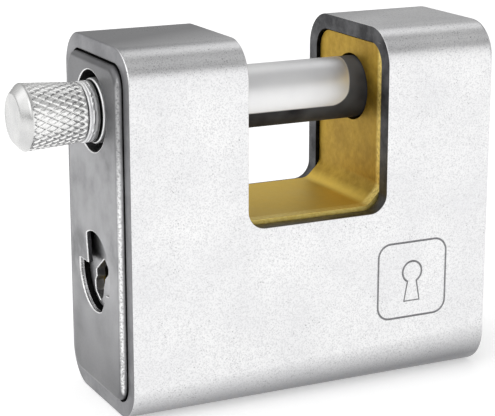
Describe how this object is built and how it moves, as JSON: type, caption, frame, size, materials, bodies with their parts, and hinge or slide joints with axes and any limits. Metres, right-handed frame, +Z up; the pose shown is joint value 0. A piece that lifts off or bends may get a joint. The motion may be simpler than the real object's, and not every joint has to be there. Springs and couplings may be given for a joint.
{
  "type": "armoured shutter padlock",
  "caption": "Rectangular armoured padlock: steel casing over a brass core, with a straight sliding bolt across a top notch, a knurled knob and a rotating-disc cylinder.",
  "frame": {"origin": "centre of the casing's flat underside", "axes": "+X along the bolt away from the knob, -Y out of the front face, +Z up through the open notch"},
  "size_m": [0.091, 0.0316, 0.069],
  "materials": {
    "plated_steel": "satin plated, finely pitted",
    "hardened_steel": "satin",
    "chromed_bolt": "polished",
    "satin_nickel": "satin, knurled",
    "brass": "satin",
    "disc_steel": "satin",
    "spring_steel": "bright drawn wire"
  },
  "bodies": {
    "casing": {"armour_casing": "plated_steel", "core_body": "brass", "end_plate": "hardened_steel", "plate_dowel_upper": "hardened_steel", "plate_dowel_lower": "hardened_steel", "core_pin_left": "hardened_steel", "core_pin_right": "hardened_steel", "stop_screw": "hardened_steel", "detent_ball": "hardened_steel", "detent_spring": "spring_steel", "locking_pin_spring": "spring_steel"},
    "cylinder": {"guard_disc": "hardened_steel", "rotor": "brass", "code_disc_1": "disc_steel", "code_disc_2": "disc_steel", "code_disc_3": "disc_steel", "code_disc_4": "disc_steel", "code_disc_5": "disc_steel", "code_disc_6": "disc_steel", "disc_spacer_1": "brass", "disc_spacer_2": "brass", "disc_spacer_3": "brass", "disc_spacer_4": "brass", "disc_spacer_5": "brass", "sidebar": "hardened_steel", "cam": "hardened_steel", "cam_screw": "hardened_steel"},
    "locking_pin": {"locking_pin": "hardened_steel"},
    "bolt": {"bolt_rod": "chromed_bolt", "bolt_knob": "satin_nickel"}
  },
  "joints": [
    {"name": "bolt_slide", "type": "slide", "parent": "casing", "child": "bolt", "axis": [-1, 0, 0], "range_m": [0, 0.0445]},
    {"name": "cylinder_turn", "type": "hinge", "parent": "casing", "child": "cylinder", "pos_m": [-0.0387, 0, 0.0256], "axis": [1, 0, 0], "range_deg": [0, 90]},
    {"name": "locking_pin_slide", "type": "slide", "parent": "casing", "child": "locking_pin", "axis": [0, 0, 1], "range_m": [0, 0.0034], "deforming": ["locking_pin_spring"]}
  ],
  "couplings": [
    {"joint": "locking_pin_slide", "follows": "cylinder_turn", "m_per_rad": 0.0021645}
  ]
}
